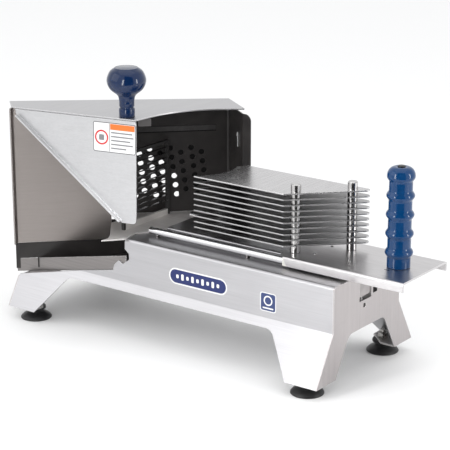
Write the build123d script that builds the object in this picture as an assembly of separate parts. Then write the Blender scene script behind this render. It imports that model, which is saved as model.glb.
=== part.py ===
from build123d import *
import os
from math import atan2, cos, degrees, pi, radians, sqrt, tan

os.makedirs("parts", exist_ok=True)

# Frame: +X along the slide towards the grip, -Y the operator's side, +Z up.
# The origin is on the table, under the middle of the overall box.

# Driving dimensions, millimetres
sheet = 1.5                  # stainless sheet
base_length = 432.0
base_right = 189.0           # outer face of the right end plate
base_top = 117.7
top_half_width = 65.25
crease_z = 66.9              # below this the skirts flare outwards
leg_half_width = 95.5
leg_z = 14.4                 # underside of the legs
leg_width = 40.0             # along the slide
end_leg_width = 36.0         # across the slide
arch_z = 57.5                # top of the arches between legs
channel_open_x = -88.0       # the base top ends here, under the guard

foot_radius = 18.0
foot_inset_x = 24.8
foot_y = 75.0

rod_radius = 4.0
rod_y = 37.5
rod_z = 123.8
rod_left = -74.5
running_gap = 0.05

table_top = 127.5            # food table
table_half_width = 28.0
table_left = -58.0

pusher_top = 130.5
pusher_half_width = 44.7
pusher_left = 111.6
pusher_right = 257.0
plate_count = 10
plate_pitch = 6.35
plate_thickness = 1.3
first_plate_z = 139.35       # mid height of the lowest plate
plate_near_y = -39.1
plate_far_y = 31.6
post_radius = 5.5
post_places = [(112.5, -24.0), (155.3, 19.5)]
grip_place = (225.0, 0.0)
grip_height = 107.0
grip_radius = 12.3
ridge_radius = 14.8
ridge_pitch = 20.2
first_ridge = 16.1

blade_x = -108.0
blade_near_y = -42.0
blade_far_y = 34.0
blade_chord = 3.4
blade_thickness = 0.36
blade_seat = 2.5             # how far a blade's end goes into its post
bar_half = 1.75              # the cartridge's posts and bars are square, twice this across
cartridge_top = 208.0

cover_z = 252.0              # top face of the guard
wall_offset = -154.7         # the guard's rear wall lies on x - y = wall_offset
guard_gap = 0.3              # the guard stands this far above the floor plate
knob_place = (-100.0, -44.0)
knob_height = 55.0

latch_x = (176.0, 187.2)     # the spring latch, behind the window in the right end plate
latch_y = (-15.2, 6.7)
latch_z = (92.0, 108.0)
window_y = (-16.0, 7.5)
window_z = (88.0, 111.0)
bracket_left = 174.0
bracket_floor = 82.0         # top face of the bracket's shelf

base_left = base_right - base_length
flare = (leg_half_width - top_half_width) / (crease_z - leg_z)
floor_top = base_top + sheet
root_half = sqrt(0.5)
wall_across = wall_offset * root_half


def save(shape, name):
    """Writes one piece, or a group of like pieces, as its own STEP file."""
    solids = shape.solids()
    node = solids[0] if len(solids) == 1 else Compound(children=list(solids))
    export_step(node, f"parts/{name}.step")


def prism_y(points, low_y, high_y, radii=None):
    """A prism along Y from an outline in X and Z; radii rounds single corners."""
    outline = Polygon(*points, align=None)
    for index, radius in (radii or {}).items():
        corner = outline.vertices().sort_by_distance((points[index][0], points[index][1], 0))[0]
        outline = fillet(corner, radius)
    face = Plane(origin=(0, high_y, 0), x_dir=(1, 0, 0), z_dir=(0, -1, 0)) * outline
    return extrude(face, high_y - low_y, dir=(0, -1, 0))


def prism_z(outline, low_z, high_z):
    return extrude(Plane.XY.offset(low_z) * outline, high_z - low_z, dir=(0, 0, 1))


def prism_x(outline, low_x, high_x):
    """A prism along X; the outline's own axes are Y and Z."""
    return extrude(Plane.YZ.offset(low_x) * outline, high_x - low_x, dir=(1, 0, 0))


def box(low, high):
    size = [b - a for a, b in zip(low, high)]
    centre = [(a + b) / 2 for a, b in zip(low, high)]
    return Pos(*centre) * Box(*size)


def rod(x, y, low_z, high_z, radius):
    return Pos(x, y, (low_z + high_z) / 2) * Cylinder(radius, high_z - low_z)


def hex_nut(x, y, low_z, high_z, across_flats, bore):
    blank = RegularPolygon(across_flats / 2, 6, major_radius=False) - Circle(bore)
    return Pos(x, y) * prism_z(blank, low_z, high_z)


def turned(profile, x, y, z):
    """A solid of revolution from (radius, height) points joined by straight lines."""
    face = make_face(Polyline(*profile, close=True))
    return Pos(x, y, z) * revolve(Plane.XZ * face, Axis.Z)


def skirt_half_width(z):
    return top_half_width + max(crease_z - z, 0) * flare


def on_wall(along, across):
    """A plan point from its places along and across the 45 degree rear wall."""
    return ((along + across) * root_half, (along - across) * root_half)


def wall_panel(outline, across, thickness):
    """A flat panel parallel to the rear wall; its outline is in places along the wall and heights."""
    face = Plane(origin=(*on_wall(0, across), 0), x_dir=(1, 1, 0), z_dir=(1, -1, 0)) * outline
    return extrude(face, thickness, dir=(-1, 1, 0))


# ---------------------------------------------------------------- base

def base_channel():
    """Top and both skirts folded from one sheet, with the legs cut out of the skirts."""
    half = sheet / 2
    lean = sqrt(1 + flare ** 2)
    foot_z = leg_z - 6
    foot_y_mid = skirt_half_width(foot_z) - half * lean
    crease_mid_z = crease_z - half * (lean - 1) / flare
    side = top_half_width - half
    path = FilletPolyline(
        (-foot_y_mid, foot_z), (-side, crease_mid_z), (-side, base_top - half),
        (side, base_top - half), (side, crease_mid_z), (foot_y_mid, foot_z), radius=3.0)
    body = prism_x(trace(path, line_width=sheet), base_left + sheet, base_right - sheet)
    body -= box((base_left - 5, -120, 0), (base_right + 5, 120, leg_z))

    slope = 0.79
    run = slope * (arch_z - leg_z)
    drop = slope * leg_z
    right = base_right - leg_width
    left = base_left + leg_width
    arch = [(right + drop, 0), (right - run, arch_z), (left + run, arch_z), (left - drop, 0)]
    body -= prism_y(arch, -120, 120, {1: 15.0, 2: 15.0})

    # The skirts are cut away over the outfeed, with a hooked notch at the end of the top
    outfeed = [
        (channel_open_x, base_top + 20), (channel_open_x - 1, base_top - 12), (-83, 101), (-83, 94),
        (-93, 87), (-98, 91), (-105, 84), (-107, outfeed_cut_z(-107)),
        (base_left - 20, outfeed_cut_z(base_left - 20)), (base_left - 20, base_top + 20)]
    return body - prism_y(outfeed, -120, 120, {2: 2.5, 3: 2.5, 4: 3.0, 5: 2.0, 6: 3.0})


def outfeed_cut_z(x):
    """Height of the skirts' sloping edge, 12 degrees down to the left."""
    return 48.5 + tan(radians(12.0)) * (x - base_left)


def end_plate(outer_x, top_z, arch_top_z):
    """A flat end plate with the channel's own outline and an arch between the legs."""
    half_top = skirt_half_width(top_z)
    outline = [(-leg_half_width, leg_z), (leg_half_width, leg_z)]
    if top_z > crease_z:
        outline.append((top_half_width, crease_z))
    outline += [(half_top, top_z), (-half_top, top_z)]
    if top_z > crease_z:
        outline.append((-top_half_width, crease_z))
    face = Polygon(*outline, align=None)
    face = fillet(face.vertices().group_by(Axis.Y)[-1], 3.0)
    foot = leg_half_width - end_leg_width + leg_z * flare
    top = foot - arch_top_z * flare
    arch = Polygon((-foot, 0), (foot, 0), (top, arch_top_z), (-top, arch_top_z), align=None)
    arch = fillet(arch.vertices().group_by(Axis.Y)[-1], 12.0)
    inner_x = outer_x - sheet if outer_x > 0 else outer_x + sheet
    return prism_x(face - arch, min(outer_x, inner_x), max(outer_x, inner_x))


def end_plate_right():
    window = box((180, window_y[0], window_z[0]), (195, window_y[1], window_z[1]))
    screw_hole = Pos(base_right, -6, 82) * Rot(0, 90, 0) * Cylinder(2.6, 20)
    return end_plate(base_right, base_top, arch_z) - window - screw_hole


def foot_places():
    xs = [base_left + foot_inset_x, base_right - foot_inset_x]
    return [(x, y) for x in xs for y in (-foot_y, foot_y)]


def foot_plates():
    """One plate folded into the bottom of each leg."""
    plates = []
    for x, y in foot_places():
        out_x = 1 if x > 0 else -1
        out_y = 1 if y > 0 else -1
        corner_x = x + out_x * (foot_inset_x - sheet)
        corner_y = out_y * (skirt_half_width(leg_z) - sheet * 2.1)
        reach_x = corner_x - out_x * (leg_width - 4)
        reach_y = corner_y - out_y * (end_leg_width - 2)
        outline = Polygon(
            (corner_x, corner_y), (reach_x, corner_y), (reach_x, corner_y - out_y * 16),
            (corner_x - out_x * 16, reach_y), (corner_x, reach_y), align=None)
        plates.append(prism_z(outline, leg_z, leg_z + 2.0) - rod(x, y, 0, 40, 3.1))
    return Part() + plates


def suction_feet():
    profile = [
        (3.1, 4.6), (9.5, 3.6), (16.6, 0), (foot_radius, 0), (foot_radius, 1.2), (15.0, 4.4), (9.0, 8.0),
        (8.4, 9.6), (11.5, 11.4), (11.5, 13.6), (10.7, leg_z), (3.1, leg_z)]
    return Part() + [turned(profile, x, y, 0) for x, y in foot_places()]


def foot_bolts():
    return Part() + [rod(x, y, 4.8, 25.0, 3.0) for x, y in foot_places()]


def foot_nuts():
    return Part() + [hex_nut(x, y, leg_z + 2.0, leg_z + 7.0, 10.0, 3.0) for x, y in foot_places()]


def food_table():
    """A shallow channel on the base top that carries the food between the rods."""
    top = box((table_left, -table_half_width, base_top), (base_right - 8, table_half_width, table_top))
    edges = top.edges().filter_by(Axis.X).group_by(Axis.Z)[-1]
    top = fillet(edges, 2.0)
    inner = table_half_width - sheet
    return top - box((table_left - 1, -inner, base_top - 1), (base_right, inner, table_top - sheet))


def floor_plate():
    """The plate under the guard, its outer edges at 45 degrees like the guard's rear wall."""
    far_y = top_half_width - 2
    clear = 0.8
    corner = (-137.5, -30.5)
    outline = Polygon(
        (-60, -26.0), (-80, -30), (-90, -45), (-85.5, -68), (-103, -88.5), (-101.5, -79), (-107, -69), corner,
        (-136, -21), (wall_offset + 6.9 + clear, 6.9), (far_y + wall_offset + clear, far_y), (-60, far_y),
        align=None)
    rounded = fillet(outline.vertices().sort_by_distance((*corner, 0))[0], 3.0)
    return prism_z(rounded, base_top, floor_top)


chute_half = top_half_width - sheet - 0.05
cheek_depth = 16.0
chute_end = base_left - 13.5


def chute_band(low, high):
    """The outline of a strip between two heights above the skirts' sloping edge."""
    start, end = channel_open_x - 1.0, chute_end
    return [(end, outfeed_cut_z(end) + low), (start, outfeed_cut_z(start) + low),
            (start, outfeed_cut_z(start) + high), (end, outfeed_cut_z(end) + high)]


def outfeed_chute():
    """The floor that carries the slices down to the left, between the cheeks."""
    return prism_y(chute_band(0, sheet), sheet - chute_half, chute_half - sheet)


def chute_cheeks():
    """A steel strip inside each skirt, standing above its sloping edge."""
    strip = chute_band(0, cheek_depth)
    return Part() + [prism_y(strip, -chute_half, sheet - chute_half),
                     prism_y(strip, chute_half - sheet, chute_half)]


def outfeed_back():
    """A black panel on the chute, just behind the guard's rear wall, that closes the gap below it."""
    left, right, bottom, top = -228.0, -60.0, 57.5, 112.0
    tab_right, cheek_left, cheek_top = left + 5.0, -203.0, 69.7
    outline = Polygon(
        (left, bottom), (tab_right, bottom), (tab_right, cheek_top), (cheek_left, cheek_top),
        (cheek_left, bottom), (right, bottom), (right, top), (left, top), align=None)
    panel = wall_panel(outline, wall_across - sheet - guard_gap, sheet)
    near = -chute_half - 0.1
    panel -= prism_y(chute_band(-60, sheet + 0.02), near, -near)
    return panel - prism_y(chute_band(-60, cheek_depth + 0.1), near, near + sheet + 0.2)


def guide_rod(y):
    body = Pos((rod_left + base_right - 3) / 2, y, rod_z) * Rot(0, 90, 0)
    bar = body * Cylinder(rod_radius, base_right - 3 - rod_left)
    return chamfer(bar.edges().filter_by(GeomType.CIRCLE), 0.8)


def rod_standoffs():
    """Short saddles that hold the rods clear of the base top."""
    saddles = []
    for x in (-64, 60, 180):
        for y in (-rod_y, rod_y):
            low = floor_top if x < -60 and y > 0 else base_top
            bar = Pos(x, y, rod_z) * Rot(0, 90, 0) * Cylinder(rod_radius, 30)
            saddles.append(rod(x, y, low, rod_z - 1.6, 2.5) - bar)
    return Part() + saddles


# ---------------------------------------------------------------- blade cartridge

def blade_z(index):
    return first_plate_z + (index - 0.5) * plate_pitch


def blade(index):
    """A thin horizontal blade, ground to an edge on the side that meets the food."""
    half = blade_thickness / 2
    back, bevel, front = blade_x - blade_chord / 2, blade_x + 0.4, blade_x + blade_chord / 2
    z = blade_z(index)
    section = [(back, z - half), (bevel, z - half), (front, z - 0.06), (front, z + 0.06),
               (bevel, z + half), (back, z + half)]
    return prism_y(section, blade_near_y - blade_seat, blade_far_y + blade_seat)


def cartridge_post(low_y, high_y):
    """A square post with a slot for each blade's end."""
    low_x, high_x = blade_x - bar_half, blade_x + bar_half
    post = box((low_x, low_y, floor_top), (high_x, high_y, cartridge_top - 2 * bar_half))
    for index in range(plate_count + 1):
        half = blade_thickness / 2
        z = blade_z(index)
        post -= box((low_x - 0.1, blade_near_y - blade_seat, z - half),
                    (high_x + 0.1, blade_far_y + blade_seat, z + half))
    return post


def cartridge_bar(low_y, high_y, low_z, high_z):
    return box((blade_x - bar_half, low_y, low_z), (blade_x + bar_half, high_y, high_z))


# ---------------------------------------------------------------- slide latch

def latch_bracket():
    """A small folded bracket behind the end plate's window that guides the latch."""
    near, far = window_y[0] - 1.0, window_y[1] + 1.0
    right = base_right - sheet
    shelf = box((bracket_left, near, bracket_floor - 2.0), (right, far, bracket_floor))
    cheeks = [box((bracket_left, y, bracket_floor), (right, y + sheet, window_z[1] + 1.0))
              for y in (near, far - sheet)]
    return shelf + cheeks


def latch_block():
    """The spring latch that the grip end of the slide parks on; it is pressed down to free it."""
    body = box(*zip(latch_x, latch_y, latch_z))
    return chamfer(body.edges().filter_by(Axis.X), 1.0)


def latch_spring():
    """A return spring under the latch, as a plain sleeve."""
    low, high = bracket_floor + 0.2, latch_z[0] - 0.2
    return Pos(181.5, -4.25, (low + high) / 2) * (Cylinder(4.0, high - low) - Cylinder(2.8, high - low))


# ---------------------------------------------------------------- pusher

def pusher_base():
    """The sliding plate, with a down flange along each side and slanted flange ends."""
    half = pusher_half_width
    outline = Polygon(
        (pusher_left, -half), (pusher_right, -half), (pusher_right, half), (pusher_left, half),
        (pusher_left - 12, half - 12), (pusher_left - 12, 12 - half), align=None)
    plate = prism_z(outline, pusher_top - 10.0, pusher_top)
    long_edges = [e for e in plate.edges().filter_by(Axis.X).group_by(Axis.Z)[-1] if e.length > 100]
    plate = fillet(long_edges, 2.5)
    inner = half - 2.0
    plate -= box((pusher_left - 20, -inner, 100), (pusher_right + 5, inner, pusher_top - 2.0))
    ends = [(pusher_left - 20, 119), (pusher_left + 5, 119), (pusher_left - 1, pusher_top - 2.0),
            (pusher_left - 20, pusher_top - 2.0)]
    plate -= prism_y(ends, -60, 60)
    for x, y in post_places:
        plate -= rod(x, y, 120, 140, 3.0)
    return plate - rod(grip_place[0], grip_place[1], 120, 140, 4.0)


def pusher_runner(side):
    """A plastic block that hangs under the pusher and slides on one rod."""
    low_y, high_y = sorted((side * 31.6, side * 42.6))
    body = box((pusher_left - 3, low_y, rod_z - 4.2), (pusher_left + 71, high_y, pusher_top - 2.0))
    bar = Pos(pusher_left, side * rod_y, rod_z) * Rot(0, 90, 0) * Cylinder(rod_radius + running_gap, 260)
    slot = box((0, side * rod_y - 3.2, 110), (250, side * rod_y + 3.2, rod_z))
    return body - bar - slot


def plate_outline():
    """Straight near and far edges, a 45 degree back edge and a shallow hollow at the food side."""
    back = 146.0             # the back edge lies on x - y = back
    tip = (-11.5, plate_near_y)
    corner = (back + plate_near_y, plate_near_y)
    far_tip = (back + plate_far_y, plate_far_y)
    far_front = (10.0, plate_far_y)
    hollow = ThreePointArc((3.0, 21.0), (6.8, -9.0), tip)
    face = make_face(Polyline(tip, corner, far_tip, far_front, (3.0, 21.0)) + hollow)
    face = fillet(face.vertices().sort_by_distance((*far_tip, 0))[0], 4.5)
    face = fillet(face.vertices().sort_by_distance((*corner, 0))[0], 4.0)
    return fillet(face.vertices().sort_by_distance((*far_front, 0))[0], 3.0)


def pusher_plate(index):
    z = first_plate_z + index * plate_pitch
    plate = prism_z(plate_outline(), z - plate_thickness / 2, z + plate_thickness / 2)
    for x, y in post_places:
        plate -= rod(x, y, z - 5, z + 5, 3.0)
    return plate


def pusher_post(place):
    """A bolt through the stack: head below the base plate, cap nut on top."""
    top = first_plate_z + (plate_count - 1) * plate_pitch + plate_thickness / 2
    shank = rod(place[0], place[1], pusher_top - 2.0, top + 1, 3.0)
    cap = rod(place[0], place[1], top, top + 9.0, post_radius)
    return shank + chamfer(cap.edges().group_by(Axis.Z)[-1], 1.0)


def post_spacers():
    rings = []
    for place in post_places:
        for index in range(plate_count):
            low = first_plate_z + (index - 1) * plate_pitch + plate_thickness / 2
            if index == 0:
                low = pusher_top
            high = first_plate_z + index * plate_pitch - plate_thickness / 2
            ring = rod(*place, low, high, post_radius)
            ring = chamfer(ring.edges().filter_by(GeomType.CIRCLE), 0.5)
            rings.append(ring - rod(*place, low - 1, high + 1, 3.0))
    return Part() + rings


def grip_radius_at(height):
    """Half sine ridges on a straight handle, closed by a dome."""
    phase = (height - first_ridge) / ridge_pitch
    ridge = max(cos(2 * pi * phase), 0) ** 1.3 if height > first_ridge - ridge_pitch / 4 else 0
    return grip_radius + (ridge_radius - grip_radius) * ridge


def grip():
    shoulder = first_ridge + 4 * ridge_pitch
    steps = [8 + i * (shoulder - 8) / 44 for i in range(45)]
    side = Spline(*[(grip_radius_at(h), h) for h in steps])
    start, end = (grip_radius_at(steps[0]), steps[0]), (grip_radius_at(steps[-1]), steps[-1])
    dome = Spline(end, (11.2, grip_height - 3.2), (5.0, grip_height), tangents=[(0, 1), (-1, 0)])
    outline = Polyline(
        (5.0, grip_height), (4.0, grip_height), (4.0, 0), (grip_radius - 0.6, 0), (grip_radius, 0.6), start)
    face = make_face(outline + side + dome)
    return Pos(*grip_place, pusher_top) * revolve(Plane.XZ * face, Axis.Z)


def grip_stud():
    """A stud set flush in the pusher's plate, up the middle of the grip."""
    return rod(*grip_place, pusher_top - 2.0, pusher_top + grip_height - 4.0, 4.0)


def grip_cap():
    x, y = grip_place
    cap = rod(x, y, pusher_top + grip_height - 4.0, pusher_top + grip_height + 1.2, 4.0)
    return fillet(cap.edges().group_by(Axis.Z)[-1], 1.0)


# ---------------------------------------------------------------- guard

guard_bottom = floor_top + guard_gap
cover_under = cover_z - sheet


def guard_cover():
    left_far, left_near = (-257, -66), (-235, -86)
    near_right, hood_start = (-81, -53), (-79, -32)
    hood_end, far_right, far = (-32, 52), (-18, 64), (-63, 95)
    rim = ThreePointArc(hood_start, (-67, 12), hood_end)
    edges = Polyline(hood_end, far_right, far, left_far, left_near, near_right, hood_start)
    plate = prism_z(make_face(rim + edges), cover_under, cover_z)
    return plate - rod(*knob_place, 240, 260, 3.0)


def front_panel_plane():
    left_top = Vector(-235, -86 + sheet, cover_under)
    right_top = Vector(-81, -53 + sheet, cover_under)
    right_bottom = Vector(-81, -55, 133.0)
    along = right_top - left_top
    rise = right_top - right_bottom
    return Plane(origin=left_top, x_dir=along, z_dir=along.cross(rise)), along.length


def guard_front_panel():
    """A triangular panel under the cover's near edge, its slanted and top edges turned outwards."""
    plane, length = front_panel_plane()
    depth = cover_under - 133.0
    lower = (length - 18.0, -depth)
    top = -0.6               # a dark gap's height below the cover
    outline = Polygon((4.0, top), (length, top), (length, -depth), lower, (4.0, -6.0), align=None)
    outline = fillet(outline.vertices().sort_by_distance((length, -depth, 0))[0], 5.0)
    panel = extrude(plane * outline, sheet, dir=plane.z_dir * -1)
    run, drop = lower[0] - 4.0, depth - 6.0
    lip_start, lip_end, lip_depth = 3.0, sqrt(run ** 2 + drop ** 2) - 2.0, 5.5
    slant = -degrees(atan2(drop, run))
    lip_length = lip_end - lip_start
    lip = Pos(lip_start + lip_length / 2, sheet / 2, lip_depth / 2) * Box(lip_length, sheet, lip_depth)
    fold_depth = 1.4
    fold = Pos(length / 2 + 2.0, top - sheet / 2, fold_depth / 2) * Box(length - 4.0, sheet, fold_depth)
    return panel + plane * (Pos(4.0, -6.0, 0) * (Rot(0, 0, slant) * lip)) + plane * fold


def guard_rear_wall():
    """The plain part of the rear wall, with a narrow return at its near end."""
    left, right, step = -226.0, -93.0, -116.0
    across = wall_across - sheet / 2
    return_end = on_wall(left - 3.0, across + 8)
    path = FilletPolyline(return_end, on_wall(left, across), on_wall(right, across), radius=2.0)
    wall = prism_z(trace(path, line_width=sheet), 89.0, cover_under)
    notch = Plane(origin=(*on_wall(step, wall_across + 20), 80), x_dir=(1, 1, 0), z_dir=(0, 0, 1))
    return wall - notch * (Pos(60, 0, 20) * Box(120, 80, 2 * (guard_bottom - 100)))


hole_radius = 3.25
hole_columns = 8
hole_rows = 6
hole_pitch_along = 12.08
hole_pitch_down = 11.1
first_hole = (-94.6, 190.7)  # along the wall, and height; even columns start half a pitch higher


def perforated_guard():
    """The perforated part of the rear wall, bent forward and then outwards at its far end."""
    across = wall_across + sheet / 2
    left, right = -106.4, 23.0
    bend, tip = (-20.5, 64.0), (-9.5, 64.0)
    path = FilletPolyline(on_wall(left, across), on_wall(right, across), bend, tip, radius=4.0)
    wall = prism_z(trace(path, line_width=sheet), guard_bottom, cover_under)
    row_shift = 1.4
    for column in range(hole_columns):
        top = first_hole[1] + (0 if column % 2 else hole_pitch_down / 2)
        for row in range(hole_rows - column % 2):
            along = first_hole[0] + column * hole_pitch_along + row * row_shift
            place = Plane(origin=(*on_wall(along, across), top - row * hole_pitch_down), z_dir=(1, -1, 0))
            wall -= place * Cylinder(hole_radius, 8)
    gap_top = cover_under - 5.0
    wall -= box((-52, 60, gap_top), (0, 100, cover_under + 1))
    edges = wall.edges().filter_by(lambda e: abs(e.length - sheet) < 0.01)
    return fillet(edges.sort_by_distance((*tip, gap_top))[0], 8.0)


def guard_backing():
    """A black sheet riveted behind the perforated wall, closing its upper and right holes."""
    outline = Polygon((-83, 213), (-36.8, 160.9), (-36.8, 135), (12, 135), (12, 213), align=None)
    return wall_panel(outline, wall_across, 1.0)


def guard_knob():
    """A turned ball knob on a grooved collar."""
    neck = Polyline((3.0, 0), (8.8, 0), (8.8, 9.4), (7.6, 10.0), (7.6, 11.0), (8.4, 11.8), (8.4, 17.5))
    ball = Spline((8.4, 17.5), (10.2, 24.0), (18.6, 31.5), (22.0, 40.5), (18.8, 50.0), (13.4, 54.6),
                  tangents=[(0, 1), (-1.2, 0.7)])
    top = knob_height
    cap = Polyline((13.4, top - 0.4), (12.4, top), (0, top), (0, top - 5.0), (3.0, top - 5.0), (3.0, 0))
    face = make_face(neck + ball + cap)
    return Pos(*knob_place, cover_z) * revolve(Plane.XZ * face, Axis.Z)


def knob_screw():
    """A screw up through the cover into the knob, its head under the cover."""
    shank = rod(*knob_place, cover_under, cover_z + knob_height - 6.0, 3.0)
    return shank + rod(*knob_place, cover_under - 3.5, cover_under, 5.0)


# ---------------------------------------------------------------- write every piece

pieces = {
    "base_channel": base_channel(),
    "end_plate_right": end_plate_right(),
    "end_plate_left": end_plate(base_left, 47.0, 33.0),
    "foot_plates": foot_plates(),
    "suction_feet": suction_feet(),
    "foot_bolts": foot_bolts(),
    "foot_nuts": foot_nuts(),
    "food_table": food_table(),
    "floor_plate": floor_plate(),
    "outfeed_chute": outfeed_chute(),
    "chute_cheeks": chute_cheeks(),
    "outfeed_back": outfeed_back(),
    "guide_rod_front": guide_rod(-rod_y),
    "guide_rod_rear": guide_rod(rod_y),
    "rod_standoffs": rod_standoffs(),
    "cartridge_post_front": cartridge_post(blade_near_y - 2 * bar_half, blade_near_y),
    "cartridge_post_rear": cartridge_post(blade_far_y, blade_far_y + 2 * bar_half),
    "cartridge_top_bar": cartridge_bar(
        blade_near_y - 2 * bar_half, blade_far_y + 2 * bar_half, cartridge_top - 2 * bar_half, cartridge_top),
    "cartridge_bottom_bar": cartridge_bar(blade_near_y, blade_far_y, floor_top, table_top - 1.5),
    "latch_bracket": latch_bracket(),
    "latch_block": latch_block(),
    "latch_spring": latch_spring(),
    "pusher_base": pusher_base(),
    "pusher_runner_front": pusher_runner(-1),
    "pusher_runner_rear": pusher_runner(1),
    "pusher_post_front": pusher_post(post_places[0]),
    "pusher_post_rear": pusher_post(post_places[1]),
    "post_spacers": post_spacers(),
    "grip": grip(),
    "grip_stud": grip_stud(),
    "grip_cap": grip_cap(),
    "guard_cover": guard_cover(),
    "guard_front_panel": guard_front_panel(),
    "guard_rear_wall": guard_rear_wall(),
    "perforated_guard": perforated_guard(),
    "guard_backing": guard_backing(),
    "guard_knob": guard_knob(),
    "knob_screw": knob_screw(),
}
for index in range(plate_count):
    pieces[f"pusher_plate_{index + 1:02d}"] = pusher_plate(index)
for index in range(plate_count + 1):
    pieces[f"blade_{index + 1:02d}"] = blade(index)

for name, shape in pieces.items():
    save(shape, name)
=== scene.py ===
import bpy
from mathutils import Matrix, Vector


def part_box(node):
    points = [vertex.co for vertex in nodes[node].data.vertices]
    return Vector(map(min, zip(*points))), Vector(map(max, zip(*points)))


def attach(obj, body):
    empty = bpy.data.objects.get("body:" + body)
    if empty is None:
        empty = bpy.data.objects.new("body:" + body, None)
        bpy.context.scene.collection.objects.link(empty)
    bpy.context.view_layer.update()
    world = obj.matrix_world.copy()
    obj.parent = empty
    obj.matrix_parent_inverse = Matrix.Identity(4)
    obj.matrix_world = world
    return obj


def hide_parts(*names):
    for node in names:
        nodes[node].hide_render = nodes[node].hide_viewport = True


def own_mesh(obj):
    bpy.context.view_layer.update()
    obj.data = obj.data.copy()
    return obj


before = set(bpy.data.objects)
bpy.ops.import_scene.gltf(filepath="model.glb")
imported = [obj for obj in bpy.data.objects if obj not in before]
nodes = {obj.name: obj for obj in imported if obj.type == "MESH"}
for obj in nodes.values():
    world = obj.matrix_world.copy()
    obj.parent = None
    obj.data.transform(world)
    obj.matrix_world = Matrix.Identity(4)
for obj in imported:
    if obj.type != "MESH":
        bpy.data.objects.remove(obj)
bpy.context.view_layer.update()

from math import cos, pi, radians, sin, sqrt

import bmesh
import bpy
from mathutils import Vector


# ---------------------------------------------------------------- studio
# A pale seamless floor under a soft white sky, two upright strip lights that draw the
# highlights on the grip, broad lights overhead and front left, and a black flag that only
# reflections see, which gives bright metal its dark middle.

scene = bpy.context.scene
scene.view_settings.view_transform = "Standard"


def aim(thing, place, direction):
    thing.location = place
    thing.rotation_mode = "QUATERNION"
    thing.rotation_quaternion = Vector(direction).to_track_quat("-Z", "Y")
    scene.collection.objects.link(thing)
    return thing


camera_place = (1.0439, -1.4048, 0.6743)
view_direction = Vector((-0.5692, 0.7674, -0.2950))
lens = bpy.data.cameras.new("camera")
lens.lens = 131.96
lens.sensor_width = 36.0
scene.camera = aim(bpy.data.objects.new("camera", lens), camera_place, view_direction)


def soft_light(name, place, size, watts, target=(0, 0, 0.12)):
    """A rectangular light, its width and height in metres, turned towards its target."""
    lamp = bpy.data.lights.new(name, "AREA")
    lamp.shape = "RECTANGLE"
    lamp.size, lamp.size_y = size
    lamp.energy = watts
    return aim(bpy.data.objects.new(name, lamp), place, Vector(target) - Vector(place))


grip_target = (0.24, 0, 0.20)
soft_light("left_strip", (0.06, -0.50, 0.30), (0.08, 0.4), 1.1, grip_target)
soft_light("right_strip", (1.25, 0.26, 0.40), (0.20, 0.7), 4.0, grip_target)
soft_light("overhead", (0.1, -0.2, 2.2), (2.4, 2.0), 7)
soft_light("front_left_sky", (-0.9, -1.05, 0.95), (1.2, 1.0), 3.2)

sky = bpy.data.worlds.new("studio")
scene.world = sky
sky.use_nodes = True
background = sky.node_tree.nodes["Background"]
background.inputs["Color"].default_value = (0.99, 0.995, 1.0, 1.0)
background.inputs["Strength"].default_value = 0.98


# A shader node placed in a tree: each input is given a value or another node's output.
def place(tree, kind, inputs=None, **settings):
    made = tree.nodes.new("ShaderNode" + kind)
    for name, value in settings.items():
        setattr(made, name, value)
    for name, value in (inputs or {}).items():
        if isinstance(value, bpy.types.NodeSocket):
            tree.links.new(value, made.inputs[name])
        else:
            made.inputs[name].default_value = value
    return made


def ramp(tree, factor, stops):
    """A colour ramp from (position, grey or colour) stops."""
    made = place(tree, "ValToRGB", {"Fac": factor})
    band = made.color_ramp.elements
    while len(band) < len(stops):
        band.new(0.5)
    for element, (position, colour) in zip(band, stops):
        element.position = position
        element.color = (*colour, 1) if hasattr(colour, "__len__") else (colour, colour, colour, 1)
    return made.outputs["Color"]


def mix(tree, factor, first, second, mode="MIX"):
    """Two colours mixed; each is a colour or another node's output."""
    made = place(tree, "Mix", data_type="RGBA", blend_type=mode)
    for socket, value in zip((made.inputs[0], made.inputs[6], made.inputs[7]), (factor, first, second)):
        if isinstance(value, bpy.types.NodeSocket):
            tree.links.new(value, socket)
        else:
            socket.default_value = (*value, 1) if hasattr(value, "__len__") else value
    return made.outputs[2]


def sum_of(tree, first, second, times=1.0):
    """first + second * times"""
    return place(tree, "Math", {0: second, 1: times, 2: first}, operation="MULTIPLY_ADD").outputs[0]


def new_material(name):
    """A material with its own Principled shader, its tree, and the part's own coordinates in metres."""
    made = bpy.data.materials.new(name)
    made.use_nodes = True
    tree = made.node_tree
    shader = tree.nodes["Principled BSDF"]
    return made, tree, shader, place(tree, "TexCoord").outputs["Object"]


floor_mesh = bpy.data.meshes.new("floor")
floor_half = 6.0
corners = [(-floor_half, -floor_half, 0), (floor_half, -floor_half, 0),
           (floor_half, floor_half, 0), (-floor_half, floor_half, 0)]
floor_mesh.from_pydata(corners, [], [(0, 1, 2, 3)])
floor = bpy.data.objects.new("floor", floor_mesh)
scene.collection.objects.link(floor)
paper, tree, shader, own = new_material("studio_paper")
fibre = place(tree, "TexNoise", {"Vector": own, "Scale": 900.0, "Detail": 3.0})
tree.links.new(ramp(tree, fibre.outputs["Fac"], [(0.3, 0.93), (0.7, 0.96)]), shader.inputs["Base Color"])
shader.inputs["Roughness"].default_value = 0.9
shader.inputs["Specular IOR Level"].default_value = 0.1
floor_mesh.materials.append(paper)

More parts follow.
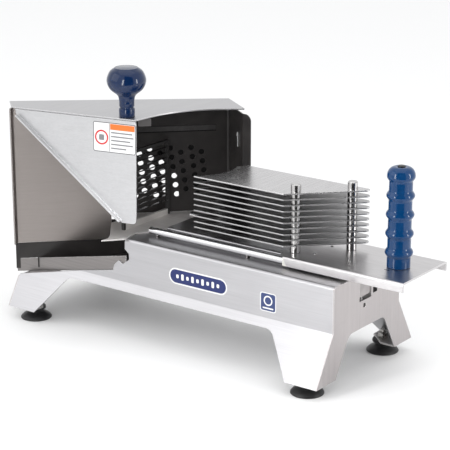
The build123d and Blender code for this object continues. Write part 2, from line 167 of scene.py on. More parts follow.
flag_left, flag_right = (0.16, -0.56), (0.66, -0.18)
flag_foot, flag_top = 0.001, 0.8
flag_mesh = bpy.data.meshes.new("black_flag")
flag_corners = [
    (*flag_left, flag_foot), (*flag_right, flag_foot), (*flag_right, flag_top), (*flag_left, flag_top)]
flag_mesh.from_pydata(flag_corners, [], [(0, 1, 2, 3)])
flag = bpy.data.objects.new("black_flag", flag_mesh)
scene.collection.objects.link(flag)
velvet, tree, shader, own = new_material("black_velvet")
pile = place(tree, "TexNoise", {"Vector": own, "Scale": 1200.0})
tree.links.new(ramp(tree, pile.outputs["Fac"], [(0.3, 0.02), (0.7, 0.05)]), shader.inputs["Base Color"])
shader.inputs["Roughness"].default_value = 1.0
shader.inputs["Specular IOR Level"].default_value = 0.0
flag_mesh.materials.append(velvet)
flag.visible_camera = flag.visible_diffuse = flag.visible_shadow = flag.visible_transmission = False


# ---------------------------------------------------------------- folded base
# The base is stainless sheet, folded to a channel with flared legs and closed by flat end
# plates that are welded in, brushed lengthwise, with edges that are sheared and deburred.

def new_group(name, inputs, outputs):
    """An empty node group with (name, socket type, default) inputs and (name, socket type) outputs."""
    tree = bpy.data.node_groups.new(name, "ShaderNodeTree")
    for label, kind, default in inputs:
        tree.interface.new_socket(label, in_out="INPUT", socket_type=kind).default_value = default
    for label, kind in outputs:
        tree.interface.new_socket(label, in_out="OUTPUT", socket_type=kind)
    return tree, tree.nodes.new("NodeGroupInput").outputs, tree.nodes.new("NodeGroupOutput").inputs


def use_group(tree, group, inputs):
    made = tree.nodes.new("ShaderNodeGroup")
    made.node_tree = group
    for name, value in inputs.items():
        if isinstance(value, bpy.types.NodeSocket):
            tree.links.new(value, made.inputs[name])
        else:
            made.inputs[name].default_value = value
    return made.outputs


def brushed_grain():
    """Long hair lines left by an abrasive belt. Frequency is in lines per metre along X, Y and Z."""
    tree, given, result = new_group(
        "brushed_grain",
        [("Vector", "NodeSocketVector", (0, 0, 0)), ("Frequency", "NodeSocketVector", (30, 1500, 1500))],
        [("Tone", "NodeSocketFloat"), ("Height", "NodeSocketFloat")])
    stretched = place(tree, "VectorMath", {0: given["Vector"], 1: given["Frequency"]}, operation="MULTIPLY")
    fine = place(tree, "TexNoise", {"Vector": stretched.outputs[0], "Scale": 1.0, "Detail": 4.0})
    broad = place(tree, "TexNoise", {"Vector": stretched.outputs[0], "Scale": 0.21, "Detail": 2.0})
    deep = place(tree, "TexNoise", {"Vector": stretched.outputs[0], "Scale": 0.55, "Detail": 1.0})
    scratch = place(tree, "MapRange", {0: deep.outputs["Fac"], 1: 0.66, 2: 0.74})
    blend = sum_of(tree, sum_of(tree, 0.0, fine.outputs["Fac"], 0.6), broad.outputs["Fac"], 0.4)
    tone = sum_of(tree, blend, scratch.outputs[0], -0.12)
    tree.links.new(tone, result["Tone"])
    tree.links.new(sum_of(tree, fine.outputs["Fac"], scratch.outputs[0], -0.8), result["Height"])
    return tree


def handling_marks():
    """Cloudy wiping marks and faint finger smears, as a mask from 0 to 1."""
    tree, given, result = new_group(
        "handling_marks",
        [("Vector", "NodeSocketVector", (0, 0, 0)), ("Size", "NodeSocketFloat", 0.04)],
        [("Cloud", "NodeSocketFloat"), ("Smear", "NodeSocketFloat")])
    scale = place(tree, "Math", {0: 1.0, 1: given["Size"]}, operation="DIVIDE")
    cloud = place(tree, "TexNoise", {"Vector": given["Vector"], "Scale": scale.outputs[0], "Detail": 2.0,
                                     "Distortion": 0.6})
    cloudy = place(tree, "MapRange", {0: cloud.outputs["Fac"], 1: 0.32, 2: 0.7})
    tree.links.new(cloudy.outputs[0], result["Cloud"])
    wiped = place(tree, "VectorMath", {0: given["Vector"], 1: (1.0, 1.0, 2.2)}, operation="MULTIPLY")
    smear = place(tree, "TexNoise", {"Vector": wiped.outputs[0], "Scale": scale.outputs[0], "Detail": 5.0,
                                     "Roughness": 0.7, "Distortion": 1.8})
    smeared = place(tree, "MapRange", {0: smear.outputs["Fac"], 1: 0.56, 2: 0.72})
    tree.links.new(smeared.outputs[0], result["Smear"])
    return tree


def bright_edges():
    """A mask of the deburred rim along every sharp edge, and the normal that rounds it."""
    tree, given, result = new_group(
        "bright_edges", [("Radius", "NodeSocketFloat", 0.0006)],
        [("Edge", "NodeSocketFloat"), ("Normal", "NodeSocketVector")])
    rounded = place(tree, "Bevel", {"Radius": given["Radius"]}, samples=4)
    flat = place(tree, "NewGeometry")
    turn = place(tree, "VectorMath", {0: rounded.outputs[0], 1: flat.outputs["Normal"]},
                 operation="DOT_PRODUCT")
    edge = place(tree, "MapRange", {0: turn.outputs["Value"], 1: 0.995, 2: 0.86})
    tree.links.new(edge.outputs[0], result["Edge"])
    tree.links.new(rounded.outputs[0], result["Normal"])
    return tree


grain_group, marks_group, edge_group = brushed_grain(), handling_marks(), bright_edges()
along_x, along_y, along_z = (26, 1700, 1700), (1700, 26, 1700), (1700, 1700, 26)


def steel(name, colour, roughness, grain, depth=0.25, edge_colour=(0.95, 0.95, 0.95), contrast=0.14,
          marks=0.5, mark_size=0.05, edge_radius=0.0006, top_painted_shade=1.0):
    """Stainless steel: hair lines, wiping marks that dull it, deburred edges and a painted edge highlight.

    Faces that look up are darkened by a set factor: painted shade for the dark reflections they take.
    """
    made, tree, shader, own = new_material(name)
    hair = use_group(tree, grain_group, {"Vector": own, "Frequency": grain})
    wiped = use_group(tree, marks_group, {"Vector": own, "Size": mark_size})
    rim = use_group(tree, edge_group, {"Radius": edge_radius})
    low = [c * (1 - contrast) for c in colour]
    high = [min(c * (1 + contrast), 1.0) for c in colour]
    lined = ramp(tree, hair["Tone"], [(0.3, low), (0.62, high)])
    dulled = mix(tree, sum_of(tree, 0.0, wiped["Cloud"], marks * 0.35), lined, [c * 0.84 for c in colour])
    # Painted shade: faces that look up are made darker, standing for their dark reflections.
    if top_painted_shade < 1:
        facing = place(tree, "SeparateXYZ", {0: place(tree, "NewGeometry").outputs["Normal"]})
        upward = place(tree, "MapRange", {0: facing.outputs["Z"], 1: 0.9, 2: 0.99})
        dulled = mix(tree, upward.outputs[0], dulled, mix(tree, 1.0, dulled, (top_painted_shade,) * 3, "MULTIPLY"))
    # Edges are mixed towards edge_colour: deburred rims, and where near white also a painted highlight.
    tree.links.new(mix(tree, rim["Edge"], dulled, edge_colour), shader.inputs["Base Color"])
    rough = sum_of(tree, sum_of(tree, roughness - 0.05, hair["Tone"], 0.1), wiped["Smear"], marks * 0.14)
    tree.links.new(rough, shader.inputs["Roughness"])
    bump = place(tree, "Bump", {"Height": hair["Height"], "Normal": rim["Normal"], "Strength": depth,
                                "Distance": 0.00006})
    tree.links.new(bump.outputs[0], shader.inputs["Normal"])
    shader.inputs["Metallic"].default_value = 1.0
    return made


def finish_cad(material, *names):
    """Gives CAD pieces their finish."""
    for name in names:
        data = nodes[name].data
        data.materials.clear()
        data.materials.append(material)


# The skirt steel's upward faces get painted shade.
skirt_steel = steel("skirt_steel", (0.51, 0.505, 0.52), 0.33, along_x, contrast=0.07, top_painted_shade=0.85)
end_steel = steel("end_plate_steel", (0.48, 0.45, 0.45), 0.32, along_z, contrast=0.07, marks=0.7)
finish_cad(skirt_steel, "base_channel", "food_table")
# The chute cheeks' dark colour is painted shade under the rear wall.
finish_cad(steel("chute_painted_shade_steel", (0.26, 0.245, 0.24), 0.36, along_x), "chute_cheeks")
finish_cad(end_steel, "end_plate_right", "end_plate_left")
finish_cad(steel("deck_steel", (0.78, 0.755, 0.74), 0.62, along_x, contrast=0.06, marks=0.2), "floor_plate")
finish_cad(steel("bracket_steel", (0.5, 0.49, 0.48), 0.4, along_y), "latch_bracket", "foot_plates")


# ---------------------------------------------------------------- suction feet
# Four black rubber suction cups, moulded with a thin flared lip, a waist and a shoulder,
# each on a zinc-plated bolt with a hexagon nut inside the leg.

def turned(name, profile, centre, sides=96, crease=38):
    """A round piece from (radius, height) points in metres, turned about an upright axis."""
    bm = bmesh.new()
    rings = []
    for radius, height in profile:
        if radius == 0:
            rings.append([bm.verts.new((centre[0], centre[1], centre[2] + height))] * sides)
            continue
        turns = [2 * pi * k / sides for k in range(sides)]
        rings.append([bm.verts.new((centre[0] + radius * cos(a), centre[1] + radius * sin(a),
                                    centre[2] + height)) for a in turns])
    closed = profile[0][0] > 0
    for lower, upper in zip(rings, rings[1:] + (rings[:1] if closed else [])):
        for k in range(sides):
            ahead = (k + 1) % sides
            loop = dict.fromkeys((lower[k], lower[ahead], upper[ahead], upper[k]))
            if len(loop) > 2:
                bm.faces.new(list(loop))
    return built(name, bm, crease)


def built(name, bm, crease=38):
    """An object from a bmesh, smooth except across edges sharper than crease degrees."""
    bmesh.ops.recalc_face_normals(bm, faces=bm.faces)
    mesh = bpy.data.meshes.new(name)
    bm.to_mesh(mesh)
    bm.free()
    mesh.shade_smooth()
    mesh.set_sharp_from_angle(angle=radians(crease))
    made = bpy.data.objects.new(name, mesh)
    scene.collection.objects.link(made)
    return made


def moulded(name, colour, roughness, grain_scale, grain_height, speckle=0.12, coat=0.0, level=0.5):
    """Moulded rubber or plastic: a fine moulding grain, slight mottling and scuffed edges."""
    made, tree, shader, own = new_material(name)
    wiped = use_group(tree, marks_group, {"Vector": own, "Size": 0.012})
    rim = use_group(tree, edge_group, {"Radius": 0.0008})
    skin = place(tree, "TexNoise", {"Vector": own, "Scale": grain_scale, "Detail": 4.0})
    light = [min(c * (1 + 2 * speckle) + 0.004, 1) for c in colour]
    mottled = mix(tree, wiped["Cloud"], colour, light)
    scuff = [min(c * 1.5 + 0.02, 1) for c in colour]
    scuffed = mix(tree, sum_of(tree, 0.0, rim["Edge"], 0.35), mottled, scuff)
    tree.links.new(scuffed, shader.inputs["Base Color"])
    rough = sum_of(tree, sum_of(tree, roughness, skin.outputs["Fac"], 0.06), wiped["Smear"], 0.1)
    tree.links.new(rough, shader.inputs["Roughness"])
    bump = place(tree, "Bump", {"Height": skin.outputs["Fac"], "Normal": rim["Normal"], "Strength": 0.5,
                                "Distance": grain_height})
    tree.links.new(bump.outputs[0], shader.inputs["Normal"])
    shader.inputs["Coat Weight"].default_value = coat
    shader.inputs["Coat Roughness"].default_value = 0.04
    shader.inputs["Specular IOR Level"].default_value = level
    return made


foot_low, foot_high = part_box("suction_feet")
foot_radius = 0.018
foot_height = foot_high.z - foot_low.z
foot_rubber = moulded("foot_rubber", (0.012, 0.012, 0.013), 0.42, 900, 0.00003, level=0.4)
foot_section = [
    (0.0031, 0.0046), (0.0095, 0.0036), (0.0135, 0.0018), (0.0164, 0.0), (0.0176, 0.0),
    (foot_radius, 0.0004), (foot_radius, 0.0011), (0.0172, 0.0022), (0.0155, 0.0040), (0.0128, 0.0056),
    (0.0104, 0.0069), (0.0090, 0.0082), (0.0085, 0.0094), (0.0089, 0.0102), (0.0106, 0.0107),
    (0.0113, 0.0112), (0.0115, 0.0119), (0.0115, 0.0131), (0.0112, 0.0139), (0.0107, foot_height),
    (0.0031, foot_height)]
for end_name, foot_x in (("left", foot_low.x + foot_radius), ("right", foot_high.x - foot_radius)):
    for side_name, foot_y in (("front", foot_low.y + foot_radius), ("rear", foot_high.y - foot_radius)):
        cup = turned(f"suction_cup_{end_name}_{side_name}", foot_section, (foot_x, foot_y, foot_low.z))
        cup.data.materials.append(foot_rubber)
        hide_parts("suction_feet")
        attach(cup, "base")

zinc = steel("zinc_plate", (0.58, 0.57, 0.54), 0.28, (300, 300, 300), depth=0.1, contrast=0.2, mark_size=0.01)
finish_cad(zinc, "foot_bolts", "foot_nuts")


# ---------------------------------------------------------------- guide rods
# Two centreless-ground stainless rods that the pusher slides on, held on short turned
# saddles just above the base; they are close to a mirror, with faint rings from grinding.

def ground_bar(name, colour, roughness, axis, rings=900):
    """Polished round bar: faint rings round it from grinding, and fine wear lines along it."""
    made, tree, shader, own = new_material(name)
    across = [rings if k == axis else 4 for k in range(3)]
    along = [12 if k == axis else 2600 for k in range(3)]
    turned_lines = use_group(tree, grain_group, {"Vector": own, "Frequency": across})
    wear_lines = use_group(tree, grain_group, {"Vector": own, "Frequency": along})
    rim = use_group(tree, edge_group, {"Radius": 0.0003})
    tone = ramp(tree, wear_lines["Tone"], [(0.3, [c * 0.9 for c in colour]), (0.6, colour)])
    # Edges are mixed towards near white: worn rims, and partly a painted highlight.
    tree.links.new(mix(tree, rim["Edge"], tone, (0.95, 0.95, 0.95)), shader.inputs["Base Color"])
    tree.links.new(sum_of(tree, roughness, turned_lines["Tone"], 0.08), shader.inputs["Roughness"])
    bump = place(tree, "Bump", {"Height": turned_lines["Height"], "Normal": rim["Normal"], "Strength": 0.15,
                                "Distance": 0.00003})
    tree.links.new(bump.outputs[0], shader.inputs["Normal"])
    shader.inputs["Metallic"].default_value = 1.0
    return made


finish_cad(ground_bar("rod_steel", (0.82, 0.82, 0.83), 0.08, axis=0), "guide_rod_front", "guide_rod_rear")
finish_cad(ground_bar("saddle_steel", (0.22, 0.21, 0.205), 0.3, axis=2), "rod_standoffs")


# ---------------------------------------------------------------- blade cartridge
# Eleven thin hardened blades in slots across a blackened steel frame with a bright sill;
# each is ground to an edge on the side that meets the food.

# The blades' dark colour is painted shade and painted dark reflection from the hood over them.
blade_steel = steel("blade_steel", (0.16, 0.155, 0.16), 0.26, along_y, depth=0.15,
                    edge_colour=(0.4, 0.4, 0.42), edge_radius=0.0002, mark_size=0.02)
finish_cad(blade_steel, *[f"blade_{index:02d}" for index in range(1, 12)])
frame_black = moulded("cartridge_black", (0.014, 0.013, 0.013), 0.45, 700, 0.00002, level=0.3)
finish_cad(frame_black, "cartridge_post_front", "cartridge_post_rear", "cartridge_top_bar")
finish_cad(steel("sill_steel", (0.80, 0.78, 0.76), 0.5, along_y, contrast=0.06), "cartridge_bottom_bar")


# ---------------------------------------------------------------- slide latch
# A moulded grey latch block in a small folded bracket, pushed up by a coil spring of
# bright music wire that stands in the bracket.

finish_cad(moulded("latch_nylon", (0.34, 0.32, 0.32), 0.5, 600, 0.00003), "latch_block")

spring_low, spring_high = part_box("latch_spring")
spring_turns = 4.5
wire_radius = 0.0005
wire = bpy.data.curves.new("latch_coil", "CURVE")
wire.dimensions = "3D"
wire.bevel_depth = wire_radius
wire.bevel_resolution = 3
coil_steps = int(spring_turns * 24)
helix = wire.splines.new("POLY")
helix.points.add(coil_steps)
coil_radius = (spring_high.x - spring_low.x) / 2 - wire_radius
coil_middle = (spring_low + spring_high) / 2
coil_rise = spring_high.z - spring_low.z - 2 * wire_radius
for step, point in enumerate(helix.points):
    turn = 2 * pi * spring_turns * step / coil_steps
    share = step / coil_steps
    height = share + 0.06 * sin(2 * pi * share)
    point.co = (coil_middle.x + coil_radius * cos(turn), coil_middle.y + coil_radius * sin(turn),
                spring_low.z + wire_radius + coil_rise * min(max(height, 0), 1), 1)
helix_line = bpy.data.objects.new("latch_helix", wire)
scene.collection.objects.link(helix_line)
bpy.context.view_layer.update()
coil_mesh = bpy.data.meshes.new_from_object(helix_line.evaluated_get(bpy.context.evaluated_depsgraph_get()))
bpy.data.objects.remove(helix_line)
coil = bpy.data.objects.new("latch_coil", coil_mesh)
scene.collection.objects.link(coil)
coil_mesh.shade_smooth()
coil_mesh.materials.clear()
coil_mesh.materials.append(ground_bar("spring_wire", (0.6, 0.6, 0.6), 0.18, axis=2, rings=3000))
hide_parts("latch_spring")
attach(coil, "base")
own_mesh(coil)


# ---------------------------------------------------------------- pusher
# A folded sliding plate on two white nylon runners carries ten thin plates, stacked on two
# bolts with bright turned spacers between them; the plates pass between the blades.

pusher_steel = steel("pusher_steel", (0.60, 0.585, 0.59), 0.3, (90, 1500, 1500), contrast=0.1)
finish_cad(pusher_steel, "pusher_base")
plate_grain = (1300, 40, 1300)
# The nine lower plates are darker than the top one of the same steel: painted shade between the plates.
plate_steel = steel("plate_steel", (0.40, 0.395, 0.40), 0.30, plate_grain, contrast=0.1)
finish_cad(plate_steel, *[f"pusher_plate_{index:02d}" for index in range(1, 10)])
top_plate_steel = steel("top_plate_steel", (0.58, 0.57, 0.575), 0.27, plate_grain, contrast=0.1)
finish_cad(top_plate_steel, "pusher_plate_10")
spacer_steel = ground_bar("spacer_steel", (0.55, 0.54, 0.535), 0.1, axis=2, rings=2400)
finish_cad(spacer_steel, "post_spacers", "pusher_post_front", "pusher_post_rear")
finish_cad(moulded("runner_nylon", (0.72, 0.71, 0.67), 0.4, 500, 0.00003, speckle=0.03),
           "pusher_runner_front", "pusher_runner_rear")


# ---------------------------------------------------------------- grip
# The handle is one glossy blue moulding with four finger ridges and a domed head, held by a
# stud through its middle; a black plug closes the hole in the dome.

grip_low, grip_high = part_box("grip")
grip_radius, ridge_radius = 0.0123, 0.0148
ridge_pitch, first_ridge = 0.0202, 0.0161
grip_height = grip_high.z - grip_low.z
bore_radius = 0.0041


def grip_radius_at(height):
    """Rounded ridges with shallow hollows between them; the lowest part is straight."""
    if height < first_ridge - ridge_pitch / 4:
        return grip_radius
    ridge = max(cos(2 * pi * (height - first_ridge) / ridge_pitch), 0) ** 1.3
    return grip_radius + (ridge_radius - grip_radius) * ridge


foot_round = 0.0008
shoulder = first_ridge + 4 * ridge_pitch
side_steps = 110
grip_side = [foot_round + (shoulder - foot_round) * k / side_steps for k in range(side_steps + 1)]
dome_steps = 14
dome_rise = grip_height - shoulder
crown_radius = 0.0052        # the dome's top edge, from which it slopes in to the bore
dome = [(crown_radius + (ridge_radius - crown_radius) * cos(pi / 2 * k / dome_steps) ** 0.8,
         shoulder + dome_rise * sin(pi / 2 * k / dome_steps)) for k in range(1, dome_steps + 1)]
grip_section = [(bore_radius, 0), (grip_radius - foot_round, 0), (grip_radius - 0.0002, 0.0003)]
grip_section += [(grip_radius_at(height), height) for height in grip_side]
grip_section += dome + [(bore_radius, grip_height - 0.0006)]
grip_middle = (grip_low + grip_high) / 2
handle = turned("handle_grip", grip_section, (grip_middle.x, grip_middle.y, grip_low.z), sides=128)
grip_blue = moulded("grip_blue", (0.0, 0.036, 0.125), 0.10, 260, 0.00002, speckle=0.03, coat=0.45, level=0.2)
handle.data.materials.append(grip_blue)
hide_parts("grip")
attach(handle, "pusher")
finish_cad(moulded("plug_black", (0.01, 0.01, 0.01), 0.35, 800, 0.00002), "grip_cap")
finish_cad(zinc, "grip_stud")


# ---------------------------------------------------------------- guard
# The lift-off guard is stainless sheet: a cover, a triangular front panel with a turned lip, and a
# 45 degree rear wall whose darker colour is painted shade. Its perforated part is black, with a sheet
# behind it whose near-black colour is painted shade. The base's chute, and the panel on it that
# closes the gap below the wall, have the same black, partly painted shade under the wall and floor plate.

cover_steel = steel("cover_steel", (0.52, 0.515, 0.525), 0.36, (1500, 40, 1500), contrast=0.06, marks=0.3)
panel_steel = steel("panel_steel", (0.61, 0.61, 0.62), 0.36, (40, 1500, 1500), contrast=0.06, marks=0.3)
# The rear wall's darker, browner colour is painted shade and a painted warm reflection.
wall_painted_shade_steel = steel("wall_painted_shade_steel", (0.315, 0.286, 0.272), 0.38, (60, 60, 1500), contrast=0.04, depth=0.12)
finish_cad(cover_steel, "guard_cover")
finish_cad(panel_steel, "guard_front_panel")
finish_cad(wall_painted_shade_steel, "guard_rear_wall")


def black_finish():
    """Gloss black finish on brushed sheet: the hair lines still show in the gloss."""
    made, tree, shader, own = new_material("black_and_painted_shade")
    hair = use_group(tree, grain_group, {"Vector": own, "Frequency": (300, 300, 40)})
    wiped = use_group(tree, marks_group, {"Vector": own, "Size": 0.03})
    rim = use_group(tree, edge_group, {"Radius": 0.0005})
    base = mix(tree, wiped["Cloud"], (0.020, 0.018, 0.018), (0.032, 0.029, 0.028))
    worn = mix(tree, sum_of(tree, 0.0, rim["Edge"], 0.25), base, (0.16, 0.15, 0.15))
    tree.links.new(worn, shader.inputs["Base Color"])
    rough = sum_of(tree, sum_of(tree, 0.26, hair["Tone"], 0.1), wiped["Smear"], 0.1)
    tree.links.new(rough, shader.inputs["Roughness"])
    bump = place(tree, "Bump", {"Height": hair["Height"], "Normal": rim["Normal"], "Strength": 0.2,
                                "Distance": 0.00005})
    tree.links.new(bump.outputs[0], shader.inputs["Normal"])
    shader.inputs["Specular IOR Level"].default_value = 0.3
    return made


black_and_painted_shade = black_finish()
# Black finish; on outfeed_back and outfeed_chute also painted shade of the space under the wall.
finish_cad(black_and_painted_shade, "perforated_guard", "outfeed_back", "outfeed_chute")
# Painted shade: the sheet behind the perforated wall is near black, standing for the shade seen through its
# holes.
finish_cad(moulded("backing_painted_shade", (0.004, 0.004, 0.004), 0.7, 900, 0.00002, level=0.1), "guard_backing")


# ---------------------------------------------------------------- guard knob
# A dark blue moulded ball knob on a grooved collar, by which the guard is lifted off; a
# screw from under the cover holds it.

knob_low, knob_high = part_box("guard_knob")
knob_middle = (knob_low + knob_high) / 2
knob_height = knob_high.z - knob_low.z
knob_collar = [(0.0084, 0), (0.0088, 0.0004), (0.0088, 0.0090), (0.0085, 0.0095), (0.0077, 0.0099),
               (0.0076, 0.0105), (0.0077, 0.0111), (0.0084, 0.0118), (0.0084, 0.0165)]
ball_points = [(0.0084, 0.0175), (0.0102, 0.0240), (0.0186, 0.0315), (0.0219, 0.0405), (0.0188, 0.0500),
               (0.0134, 0.0545), (0.0124, 0.05475)]


def between(p, q, r, s, t):
    """One coordinate on the Catmull-Rom curve from q to r, at share t."""
    curve = 2 * q + (r - p) * t
    curve += (2 * p - 5 * q + 4 * r - s) * t * t
    curve += (3 * q - p - 3 * r + s) * t ** 3
    return 0.5 * curve


def smooth_profile(points, steps=8):
    """Points of a smooth curve through an outline's points."""
    padded = [points[0], *points, points[-1]]
    found = []
    for four in zip(padded, padded[1:], padded[2:], padded[3:]):
        found += [tuple(between(*values, k / steps) for values in zip(*four)) for k in range(steps)]
    return found + [points[-1]]


knob_section = [(0.0, 0.0)] + knob_collar + smooth_profile(ball_points)
knob_section += [(0.0110, knob_height), (0.0, knob_height)]
knob_foot = (knob_middle.x, knob_middle.y, knob_low.z)
ball_knob = turned("ball_knob", knob_section, knob_foot, sides=128, crease=50)
knob_blue = moulded("knob_blue", (0.0, 0.012, 0.055), 0.10, 260, 0.00002, speckle=0.03, coat=0.5, level=0.2)
ball_knob.data.materials.append(knob_blue)
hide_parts("guard_knob")
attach(ball_knob, "guard")
finish_cad(zinc, "knob_screw")


# ---------------------------------------------------------------- labels and marks
# A printed vinyl label on the front panel and two inked marks on the skirt, all with plain
# shapes in place of words; the label is stuck on, and its edges stand up slightly.

def flat_piece(name, surface, outline, thickness, body, material):
    """A thin flat piece on a surface, which is an origin in millimetres and two directions along it.

    The outline is in millimetres across and up from that origin.
    """
    origin = Vector(surface[0])
    across, up = Vector(surface[1]).normalized(), Vector(surface[2]).normalized()
    out = across.cross(up).normalized()
    bm = bmesh.new()
    low = [bm.verts.new((origin + across * u + up * v) / 1000) for u, v in outline]
    high = [bm.verts.new(vert.co + out * thickness / 1000) for vert in low]
    bm.faces.new(list(reversed(low)))
    bm.faces.new(high)
    for k in range(len(low)):
        ahead = (k + 1) % len(low)
        bm.faces.new((low[k], low[ahead], high[ahead], high[k]))
    made = built(name, bm, crease=30)
    made.data.materials.append(material)
    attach(made, body)
    return made


def rounded(low_u, high_u, low_v, high_v, radius, steps=6):
    """A rectangle with rounded corners."""
    points = []
    left, right = low_u + radius, high_u - radius
    bottom, top = low_v + radius, high_v - radius
    for turn, (u, v) in enumerate(((right, top), (left, top), (left, bottom), (right, bottom))):
        for k in range(steps + 1):
            angle = pi / 2 * (turn + k / steps)
            points.append((u + radius * cos(angle), v + radius * sin(angle)))
    return points


def ring_band(u, v, inner, outer, steps=48):
    """A ring as one outline, slit at its right."""
    turns = [2 * pi * k / steps for k in range(steps + 1)]
    outside = [(u + outer * cos(a), v + outer * sin(a)) for a in turns]
    inside = [(u + inner * cos(a), v + inner * sin(a)) for a in reversed(turns)]
    slit = 0.02
    outside[-1], inside[0] = (u + outer, v - slit), (u + inner, v - slit)
    return outside + inside


def printed(name, colour):
    """Ink on vinyl: slightly uneven cover, and a faint orange-peel gloss."""
    made, tree, shader, own = new_material(name)
    cover = place(tree, "TexNoise", {"Vector": own, "Scale": 2600.0, "Detail": 3.0})
    worn = use_group(tree, marks_group, {"Vector": own, "Size": 0.006})
    thin = mix(tree, cover.outputs["Fac"], colour, [c * 0.9 + 0.01 for c in colour])
    rubbed = mix(tree, sum_of(tree, 0.0, worn["Smear"], 0.2), thin, [c * 0.8 + 0.06 for c in colour])
    tree.links.new(rubbed, shader.inputs["Base Color"])
    tree.links.new(sum_of(tree, 0.4, worn["Smear"], 0.15), shader.inputs["Roughness"])
    peel = place(tree, "Bump", {"Height": cover.outputs["Fac"], "Strength": 0.2, "Distance": 0.00002})
    tree.links.new(peel.outputs[0], shader.inputs["Normal"])
    shader.inputs["Specular IOR Level"].default_value = 0.35
    return made


vinyl_white = printed("vinyl_white", (0.80, 0.80, 0.80))
ink_dark = printed("ink_dark", (0.035, 0.035, 0.04))
ink_orange = printed("ink_orange", (0.75, 0.18, 0.03))
ink_red = printed("ink_red", (0.62, 0.03, 0.03))
ink_grey = printed("ink_grey", (0.22, 0.22, 0.23))
ink_navy = printed("ink_navy", (0.012, 0.022, 0.12))
ink_blue = printed("ink_blue", (0.035, 0.055, 0.16))

panel = ((-235, -84.5, 250.5), (154, 33, 0), (-0.0061, 0.0285, 0.9996))
border, card, print_on_card = 0.10, 0.14, 0.17    # each layer stands higher than the one below
label = [
    ("label_border", rounded(104.2, 156.9, -38.5, -4.8, 2.0), border, ink_dark),
    ("label_card", rounded(104.9, 156.2, -37.8, -5.5, 1.5), card, vinyl_white),
    ("label_header", rounded(125.4, 155.7, -12.6, -6.0, 0.4), print_on_card, ink_orange),
    ("label_divider", rounded(124.4, 124.9, -37.4, -5.9, 0.2), print_on_card, ink_dark),
    ("label_ring", ring_band(114.6, -22.1, 6.6, 8.4), print_on_card, ink_red),
    ("label_figure", rounded(111.4, 117.8, -25.3, -18.9, 1.2), print_on_card, ink_grey)]
bar_left, bar_height, bar_pitch, first_bar = 126.4, 1.5, 4.4, -15.0
for row, length in enumerate((26.5, 28.0, 24.0, 27.0, 19.0)):
    top = first_bar - bar_pitch * row
    bar = rounded(bar_left, bar_left + length, top - bar_height, top, 0.3)
    label.append((f"label_bar_{row + 1}", bar, print_on_card, ink_grey))
for name, outline, height, ink in label:
    flat_piece(name, panel, outline, height, "guard", ink)

skirt = ((0, -65.25, 0), (1, 0, 0), (0, 0, 1))
outline_coat, field_coat, top_coat = 0.06, 0.10, 0.13
marks = [
    ("mark_border", rounded(-25.9, 53.2, 79.5, 98.0, 9.2), outline_coat, vinyl_white),
    ("mark_field", rounded(-24.3, 51.6, 81.1, 96.4, 7.6), field_coat, ink_navy),
    ("badge_border", rounded(96.5, 117.0, 74.0, 95.0, 3.0), outline_coat, vinyl_white),
    ("badge_field", rounded(97.5, 116.0, 75.0, 94.0, 2.2), field_coat, ink_blue),
    ("badge_ring", ring_band(106.75, 86.2, 4.1, 5.6), top_coat, vinyl_white),
    ("badge_bar", rounded(100.0, 113.5, 77.0, 78.6, 0.3), top_coat, vinyl_white)]
first_slit, slit_pitch, slit_width = -16.0, 6.9, 3.4
for column in range(9):
    left = first_slit + slit_pitch * column
    lower, upper = (85.2, 92.3) if column % 2 else (86.6, 90.9)
    slit = rounded(left, left + slit_width, lower, upper, 1.2)
    marks.append((f"mark_slit_{column + 1}", slit, top_coat, vinyl_white))
for name, outline, height, ink in marks:
    flat_piece(name, skirt, outline, height, "base", ink)


# ---------------------------------------------------------------- strips, slots and rivets
# Small sheet details: a black strip across the perforated wall with a painted shadow under it and a
# plastic clip beside it, a near-white piece on the far flange that is a painted highlight, rivets,
# and thin dark patches of painted shade that stand for slots in the slide and end plate.

# The perforated wall's back face lies on x - y = wall_offset; its front is one sheet nearer.
wall_offset, sheet = -154.7, 1.5
front_x = (wall_offset * sqrt(0.5) + sheet) * sqrt(0.5)
wall_front = ((front_x, -front_x, 0), (1, 1, 0), (0, 0, 1))
strip_black = moulded("strip_black", (0.028, 0.026, 0.026), 0.4, 700, 0.00002, level=0.4)
clip_grey = moulded("clip_grey", (0.20, 0.19, 0.19), 0.45, 700, 0.00002)
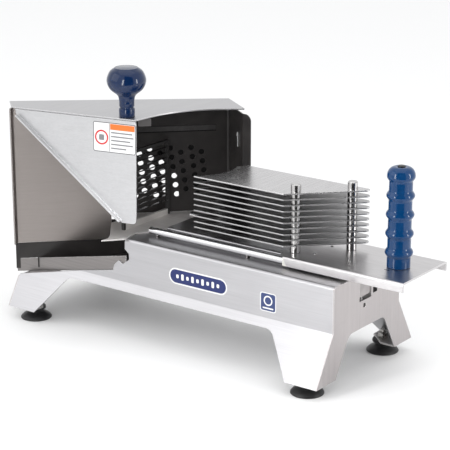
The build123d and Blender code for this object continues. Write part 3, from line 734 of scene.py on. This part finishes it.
# Painted shadow: a near-black line under the strip stands for the shadow it casts.
strip_shade = moulded("strip_shade", (0.003, 0.003, 0.003), 0.8, 700, 0.00002, level=0.05)
for name, outline, thickness, finish in (
        ("wall_strip", rounded(-85, 7, 216.5, 222.5, 0.5), 0.8, strip_black),
        ("wall_clip", rounded(-83.5, -68.5, 223.5, 232.5, 1.0), 2.0, clip_grey),
        ("wall_strip_shadow", rounded(-85, 7, 215.3, 216.5, 0.3), 0.4, strip_shade)):
    flat_piece(name, wall_front, outline, thickness, "guard", finish)

# Painted highlight: a near-white clip-shaped piece on the far flange stands for a streak of light.
painted_highlight_steel = steel("painted_highlight_steel", (1.0, 1.0, 1.0), 0.6, (300, 300, 40), depth=0.1)
highlight_face = ((-33.3, 72.0, 0), (0.81, -0.588, 0), (0, 0, 1))
highlight_outline = [
    (-1.2, 221), (-3.4, 217), (-2.6, 215.5), (-0.6, 217), (0.2, 205), (1.6, 204), (1.4, 218), (1.0, 221)]
flat_piece("flange_painted_highlight", highlight_face, highlight_outline, 0.8, "guard", painted_highlight_steel)

# Painted shade: thin near-black patches stand for the shade inside small slots.
slot_shade = moulded("slot_shade", (0.012, 0.011, 0.011), 0.7, 900, 0.00002, level=0.1)
slide_height, slot_depth = 130.5, 0.04
slide_top = ((0, 0, slide_height), (1, 0, 0), (0, 1, 0))
slide_slot_shade = rounded(218.5, 224.5, -17.8, -16.4, 0.6)
flat_piece("slide_slot_shade", slide_top, slide_slot_shade, slot_depth, "pusher", slot_shade)
end_face = ((189.0, 0, 0), (0, 1, 0), (0, 0, 1))
end_slot_shade = rounded(10.6, 19.0, 91.0, 98.0, 0.8)
flat_piece("end_slot_shade", end_face, end_slot_shade, slot_depth, "base", slot_shade)

rivet_steel = steel("rivet_steel", (0.62, 0.61, 0.60), 0.24, (300, 300, 300), depth=0.1, mark_size=0.004)
rivet_head = [(0, 0), (1.9, 0), (1.9, 0.15), (1.5, 0.55), (0.8, 0.75), (0, 0.8)]
rivet_head = [(radius / 1000, height / 1000) for radius, height in rivet_head]
rivet_x = 132.8
for name, y in (("slide_rivet_near", -16.5), ("slide_rivet_far", 16.5)):
    rivet = turned(name, rivet_head, (rivet_x / 1000, y / 1000, slide_height / 1000), sides=32)
    rivet.data.materials.append(rivet_steel)
    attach(rivet, "pusher")
